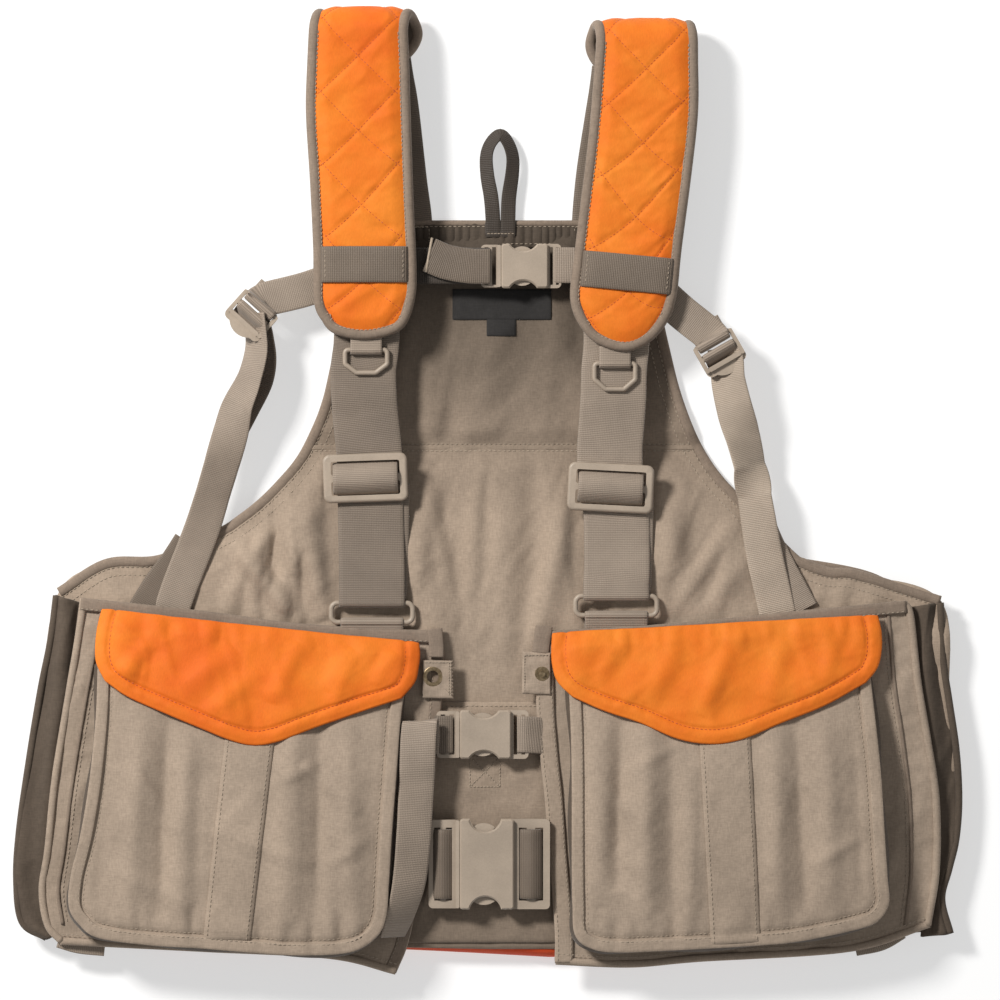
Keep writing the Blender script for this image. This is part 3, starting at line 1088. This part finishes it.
# Loops from inside the front panels that hold the rings' lower bars
for (rx, ry, rz), side in ((LEFT_RING, "left"), (RIGHT_RING, "right")):
    lower = ry - RING_BAR
    turn = turn_round(rx, lower, rz, 2.65, -0.9, math.pi + 0.9, 14)
    strap(f"ring_loop_{side}", [(rx, lower - 9, TOP_Z + 0.4), *turn, (rx, lower - 9, PANEL_Z - 1.0)],
          ACROSS, 44, 1.3, count=70)

# Webbing over the sliders' middle bars
for side, cx, cy, turn in (("left", -85.0, 8.5, 2.0), ("right", 86.5, 1.5, -3.0)):
    a = math.radians(turn)
    pts = [(cx - math.sin(a) * 10.8 * t, cy + math.cos(a) * 10.8 * t, 25.4 + 7.4 * (1 - abs(t) ** 2.4))
           for t in np.linspace(-1, 1, 21)]
    strap(f"slider_wrap_{side}", pts, (math.cos(a), math.sin(a), 0), 45.5, 1.6, f"{side}_slider", count=60)

# Rear webbing from the pads down to the yoke
strap("rear_webbing_left_strap", [(-77, 304, 3.4), (-75, 290, 2.6), (-71, 266, 1.6), (-65.5, 217, 1.6),
                                  (-62, 190, 2.6), (-61.5, 168, 4.4)],
      ACROSS, 46.5, material=WEBBING_DARK, node="rear_webbing_left")
strap("rear_webbing_right_strap", [(97, 296, 3.4), (95, 280, 2.6), (91.5, 258, 1.6), (86, 222, 1.6),
                                   (83, 190, 2.6), (82.5, 168, 4.4)],
      ACROSS, 46.5, material=WEBBING_DARK, node="rear_webbing_right")
for cx in (-61.8, 82.6):
    for yy in (185, 171):
        stitch.row([(cx + a, yy, 5.2) for a in np.linspace(-21, 21, 30)], pitch=2.6)
    for sx in (-21, 21):
        stitch.row([(cx + sx, b, 5.2) for b in np.linspace(171, 185, 10)], pitch=2.6)


def upper_side_strap(side, start, lock_x, lock_y, turn):
    """From the armhole to its ladder lock, up through the lock and back; turn is the lock's, in degrees."""
    a = math.radians(turn)
    q = lambda u, *z: (lock_x + u * math.cos(a), lock_y + u * math.sin(a), *z)
    start = np.array(start)
    whole = np.array(q(-10)) - start
    run = whole / np.linalg.norm(whole)
    flat = np.array([-run[1], run[0], 0])
    bar = np.array([-math.sin(a), math.cos(a), 0])
    if (flat * bar).sum() < 0:
        bar = -bar
    pts = [(*start, 23.0), (*(start + whole * 0.5), 22.8), q(-15.5, 25.0), q(-11, 31.0), q(-7.2, 30.0),
           q(-6.6, 26.0), q(-9, 22.4), q(-16, 21.8), q(-24, 21.0)]
    lock = f"{side}_ladder_lock"
    bends = ("vest", lock, [v * MM for v in q(-20, 23.0)], [v * MM for v in q(-12.5, 23.0)])
    strap(f"side_strap_upper_{side}_webbing", pts,
          lambda t: tuple(flat + (bar - flat) * min(1, max(0, (t - 0.25) * 4))), 24.4, 1.5, bends,
          node=f"side_strap_upper_{side}")
    wrap = [q(-0.6, 24.0), q(-3.8, 29.6), q(-1.7, 31.4), q(0.8, 29.6), q(3.4, 25.0), q(6, 22.6)]
    strap(f"ladder_wrap_{side}", wrap, tuple(bar), 24.4, 1.5, lock, count=50)


upper_side_strap("left", (-95, 152), -165.0, 122.0, 228.0)
upper_side_strap("right", (113, 146), 163.0, 96.0, -60.0)


def twist(angles, flat):
    """Directions across a strap that turns about its own length: tilt in degrees along it."""
    def at(t):
        k = np.interp(t, np.linspace(0, 1, len(angles)), np.radians(angles))
        return (flat[0] * math.cos(k), flat[1] * math.cos(k), math.sin(k))
    return at


strap("side_strap_lower_left_webbing", [
    (-163, 124, 23.6), (-162, 112, 23.2), (-161.5, 100, 24.0), (-163.5, 88, 25.6), (-168, 74, 26.2),
    (-175, 58, 25.0), (-179, 42, 23.6), (-183.5, 26, 22.8), (-190, 4, 22.0), (-200, -28, 21.0),
    (-214, -64, 20.4), (-222, -86, 19.8)],
    twist([52, 50, 46, 30, 6, -14, -18, -10, -4, 0, 0], (0.96, -0.24)), 25.2, node="side_strap_lower_left")
strap("side_strap_tail_left", [
    (-158, 122, 22.0), (-155, 108, 21.6), (-153.5, 92, 21.6), (-156.5, 76, 21.4), (-166, 58, 20.4),
    (-173.5, 44, 20.2)], twist([44, 40, 30, 12, 0], (0.96, -0.24)), 15, material=WEBBING_DARK, count=60)
strap("side_strap_lower_right_webbing", [
    (166, 100, 23.6), (168, 90, 23.4), (169, 76, 25.2), (173.5, 56, 26.2), (180, 34, 24.6),
    (184.5, 14, 22.6), (189, -14, 21.8), (194, -44, 20.8), (199, -66, 20.4), (204, -88, 19.8)],
    twist([24, 24, 12, -16, -28, 24, 16, 4, 0, 0], (0.97, 0.18)), 25.6, node="side_strap_lower_right",
    material=WEBBING_PALE)
strap("side_strap_tail_right", [(190, -16, 17.8), (198, -36, 17.8), (209, -58, 18.4), (223, -84, 19.2)],
      (0.93, 0.3, 0), 19, count=60)
strap("side_strap_inner_left", [(-210, -36, 18.6), (-219, -50, 19.2), (-231, -66, 19.6), (-242, -84, 19.8)],
      (0.88, -0.4, 0), 20, material=WEBBING_DARK, count=60)

# Hang loop
loop_line = through([(14.6, 178), (14.8, 192), (15.4, 206), (17.6, 222), (18.0, 234), (14.8, 244),
                     (9.4, 249.8), (3.0, 244.5), (-0.4, 235), (0.2, 221), (2.8, 206), (4.0, 192),
                     (4.4, 178)], 150)
arch = np.sin(np.linspace(0, math.pi, 150))
loop_side = flat_side(loop_line)
loop_side[:, 2] = 0.75 * arch ** 3
ribbon("hang_loop_webbing", np.column_stack([loop_line, 5.0 + 4.4 * np.maximum(arch, 0) ** 1.2]), loop_side,
       10.4, 1.4, WEBBING_DEEP, body="loop", node="hang_loop")
ribbon("hang_loop_base", [(x, 183.4, 4.6) for x in np.linspace(-1.5, 20.5, 12)], ALONG, 9.5, 2.0,
       WEBBING_DEEP)
for yy in (180.4, 186.2):
    stitch.row([(x, yy, 5.75) for x in np.linspace(0, 19, 12)], pitch=2.4)

# Blank label and blank size tab
label_low = grid_surface(np.linspace(-24, 45, 40), np.linspace(141, 120, 14), yoke_low, CLOTH + 0.35)
cloth("neck_label_patch", label_low, 0.8, LABEL, "laid", "neck_label")
tab_low = grid_surface(np.linspace(0, 20, 14), np.linspace(121.5, 108.5, 10), yoke_low, CLOTH + 0.2)
cloth("size_tab_patch", tab_low, 0.7, LABEL, "laid")

# Chest strap
ribbon("chest_webbing_cut_end", [(-42.4, 152.5, 26.0), (-41.4, 160, 26.2), (-39.6, 170, 26.2),
                                 (-38.4, 176.5, 26.0)], ACROSS, 1.8, 1.8, THREAD, ROUND, "chest_plug")
strap("chest_webbing_left_strap", [(-66, 157, 19.6), (-50, 157, 20.6), (-30, 157, 21.3), (-10, 157, 21.5),
                                   (2, 157, 21.4)],
      ALONG, 25.4, body="chest_plug", material=WEBBING_DEEP, node="chest_webbing_left", count=60)
strap("chest_webbing_tail", [(2, 156.6, 23.2), (-12, 156.8, 24.2), (-28, 159.5, 24.8), (-40.5, 164.5, 25.6)],
      lambda t: (0.16 * t, 1.0, 0.0), 24.6, body="chest_plug", material=WEBBING_DARK, count=60)
strap("chest_webbing_right_strap", [(47, 157.5, 19.8), (56, 157.5, 20.8), (70, 157, 22.0), (84, 157, 22.6)],
      ALONG, 25.2, node="chest_webbing_right", count=50)

# Belt: patch on the right panel, folded end on the left
strap("upper_webbing_right_strap", [(21, -171, 29.4), (27, -171, 29.4), (34, -171.5, 27.0), (40, -172, 24.5),
                                    (47, -172, 23.6)], ALONG, 25.6, node="upper_webbing_right", count=50)
tail_turn = [(0.93, 0.1, 0.10), (0.93, 0.1, 0.10), (0.92, 0.05, 0.05), (0.90, -0.05, -0.12), (0.88, 0, -0.22),
             (0.88, -0.05, -0.26), (0.86, -0.05, -0.32), (0.74, 0, -0.50), (0.60, 0, -0.62)]
strap("upper_webbing_end_strap", [
    (-46, -184, 33.2), (-45.5, -172, 33.6), (-46, -162.5, 35.4), (-47, -163.5, 38.4), (-48, -176, 40.4),
    (-48.5, -192, 40.0), (-49, -203, 39.0), (-49.5, -212, 39.6), (-51, -240, 42.5), (-54, -272, 42.5),
    (-60, -296, 39.0), (-66, -312, 34.0)],
    lambda t: [np.interp(t, np.linspace(0, 1, 9), column) for column in zip(*tail_turn)], 25.0,
    node="upper_webbing_end", count=150)
strap("upper_webbing_wrap", [(-36, -171, 26.0), (-35, -171, 29.6), (-29, -171, 30.2), (-24, -171, 29.6)],
      ALONG, 26.4, body="belt_plug", material=WEBBING_DARK, count=30)

# Waist belt webbing turned over the plug's and the socket's bars
for side, body, xs, zs in (
        ("left", "waist_plug", (-37.5, -37.2, -31.5, -25.2, -24.9), (25.6, 30.2, 33.2, 30.2, 25.6)),
        ("right", "vest", (23.4, 23.8, 30.4, 37.2, 37.6), (25.6, 30.4, 33.4, 30.4, 25.6))):
    strap(f"waist_webbing_{side}_strap", [(x, -261.5, z) for x, z in zip(xs, zs)], ALONG, 49, body=body,
          material=WEBBING_DARK, node=f"waist_webbing_{side}", count=40)

# Short ends of the bag's compression straps at the lower corners
strap("corner_strap_left", [(-300, -314, 19.4), (-286, -318, 19.0), (-268, -320, 17.0)], (0.18, 0.95, 0), 14,
      count=30)
strap("corner_strap_right", [(290, -308, 19.4), (276, -316, 19.0), (258, -320, 17.0)], (-0.3, 0.95, 0), 14,
      count=30)


# ------------------------------------------------------------------ closure tabs and D-ring tabs
def closure_tab(side, corners, hole, hole_r, jag):
    """A folded canvas tab with a small hole; jag is the pinked height of its right edge."""
    (hx, hy), n, m = hole, 160, 12
    c = np.array(corners + corners[:1], float)
    edge = through(c, n + 1, smooth=False)[:-1]
    jagged = np.abs(edge[:, 0] - c[:, 0].max()) < 0.6
    edge[:, 0] += jagged * jag * (np.abs((edge[:, 1] / 2.6) % 1 - 0.5) * 4 - 1)
    angle = np.arctan2(edge[:, 1] - hy, edge[:, 0] - hx)
    inner = np.stack([hx + hole_r * np.cos(angle), hy + hole_r * np.sin(angle)], axis=1)
    outward = np.linspace(0, 1, m)
    flat = [inner * (1 - t) + edge * t for t in outward]
    drop = 0.7 * np.maximum(0.0, (outward - 0.9) * 10)
    verts = [np.column_stack([p, 27.9 + 0.35 * waves(p[:, 0], p[:, 1], 12, 5) - fall])
             for p, fall in zip(flat, drop)]
    verts += [np.column_stack([edge + (edge - inner) * 0.012, np.full(n, 26.6)])]
    verts += [np.column_stack([p, np.full(n, 25.8)]) for p in flat[::-1]]
    rows = len(verts)
    faces = [(i * n + j, (i + 1) % rows * n + j, (i + 1) % rows * n + (j + 1) % n, i * n + (j + 1) % n)
             for i in range(rows) for j in range(n)]
    v = np.vstack(verts)
    tab = mesh(f"closure_tab_{side}_cloth", v, faces, v[:, :2], CANVAS, f"{side}_closure_tab",
               f"closure_tab_{side}")


closure_tab("left", [(-45, -119), (-45, -145.5), (-23.6, -146), (-24.2, -119.5)], (-38, -130.5), 4.3, 0.7)
closure_tab("right", [(25, -113), (24.5, -142.5), (44.5, -143), (44.5, -114)], (38.5, -128.5), 0.8, 0.0)
for side, edges, down, top, over in (
        ("left", (-25.2, -26.6), (-120, -145), -120.6, (-44, -25)),
        ("right", (26.2,), (-115, -142), -115.6, (26, 43))):
    sewn = Thread(f"closure_tab_{side}_stitches", f"{side}_closure_tab", THREAD)
    for xx in edges:
        sewn.row([(xx, yy, 28.2) for yy in np.linspace(*down, 20)], pitch=2.0, length=1.6)
    sewn.row([(xx, top, 28.2) for xx in np.linspace(*over, 20)], pitch=2.4)
    sewn.done()
tape_along("closure_stub_left", [(-36.5, -97), (-35.5, -108), (-35.5, -117)], 10.5, 2.6, 26.0, BINDING,
           count=24)
tape_along("closure_stub_right", [(40, -95), (38.5, -106), (37.5, -114)], 12, 2.6, 26.0, BINDING, count=24)

for dx, dy, side in ((-84.5, 98.0, "left"), (89.5, 88.5, "right")):
    turn = turn_round(dx, dy, 28.2, 2.8, 0.5, -math.pi + 0.2)
    strap(f"d_ring_tab_{side}_webbing", [(dx, dy + 12, 29.6), (dx, dy + 5, 30.2), *turn, (dx, dy + 8, 26.6)],
          ACROSS, 22, 1.3, node=f"d_ring_tab_{side}", count=60)

stitch.done()

# ------------------------------------------------------------------ hard pieces keep their CAD shapes
for name, obj in NODES.items():
    if name in ("brass_eyelet", "brass_snap"):
        look = BRASS
    elif "buckle" in name or name.startswith(("slider", "ladder_lock", "rectangular_ring", "d_ring_left",
                                              "d_ring_right")):
        look = PLASTIC
    else:
        continue
    obj.data.materials.clear()
    obj.data.materials.append(look)
    soft_edge = obj.modifiers.new("edge", "BEVEL")
    soft_edge.width = 0.0009
    soft_edge.segments = 3
    soft_edge.limit_method = "ANGLE"
    soft_edge.angle_limit = math.radians(40)

# ------------------------------------------------------------------ floor, light and camera
floor_look = Look("pale_floor", 0.9, specular=0.0)
floor_look.fill(floor_look.shader, {
    "Base Color": floor_look.ramp(floor_look.noise(3, 2), greys((0.3, 0.50), (0.7, 0.53))),
    "Emission Color": (1, 1, 1, 1), "Emission Strength": 0.52})
floor_mesh = bpy.data.meshes.new("floor")
floor_mesh.from_pydata([(x, y, -0.0006) for x, y in ((-8, -8), (8, -8), (8, 8), (-8, 8))], [], [(0, 1, 2, 3)])
floor = bpy.data.objects.new("floor", floor_mesh)
floor.data.materials.append(floor_look.mat)
bpy.context.scene.collection.objects.link(floor)


def area_light(name, place, aim, size, power, colour=(1, 1, 1)):
    data = bpy.data.lights.new(name, "AREA")
    data.energy = power
    data.size = size
    data.color = colour
    light = bpy.data.objects.new(name, data)
    light.location = place
    direction = np.array(aim, float) - np.array(place, float)
    light.rotation_euler = Vector(direction).to_track_quat("-Z", "Y").to_euler()
    bpy.context.scene.collection.objects.link(light)


area_light("key", (-1.75, 1.45, 2.1), (0, 0, 0), 0.55, 118, (1.0, 0.985, 0.96))
area_light("fill", (1.8, -1.0, 2.4), (0, 0, 0), 2.4, 9, (0.97, 0.985, 1.0))
world = bpy.data.worlds.new("studio")
bpy.context.scene.world = world
world.use_nodes = True
world.node_tree.nodes["Background"].inputs["Color"].default_value = (1, 1, 1, 1)
world.node_tree.nodes["Background"].inputs["Strength"].default_value = 0.26
bpy.context.scene.view_settings.view_transform = "Standard"

camera_data = bpy.data.cameras.new("camera")
camera_data.sensor_width = 36.0
camera_data.lens = 36.0 * 3.975 / 0.7
camera_data.clip_end = 50
camera = bpy.data.objects.new("camera", camera_data)
camera.location = (0.0091, -0.007, 4.0)
camera.rotation_euler = (0, 0, 0)
bpy.context.scene.collection.objects.link(camera)
bpy.context.scene.camera = camera
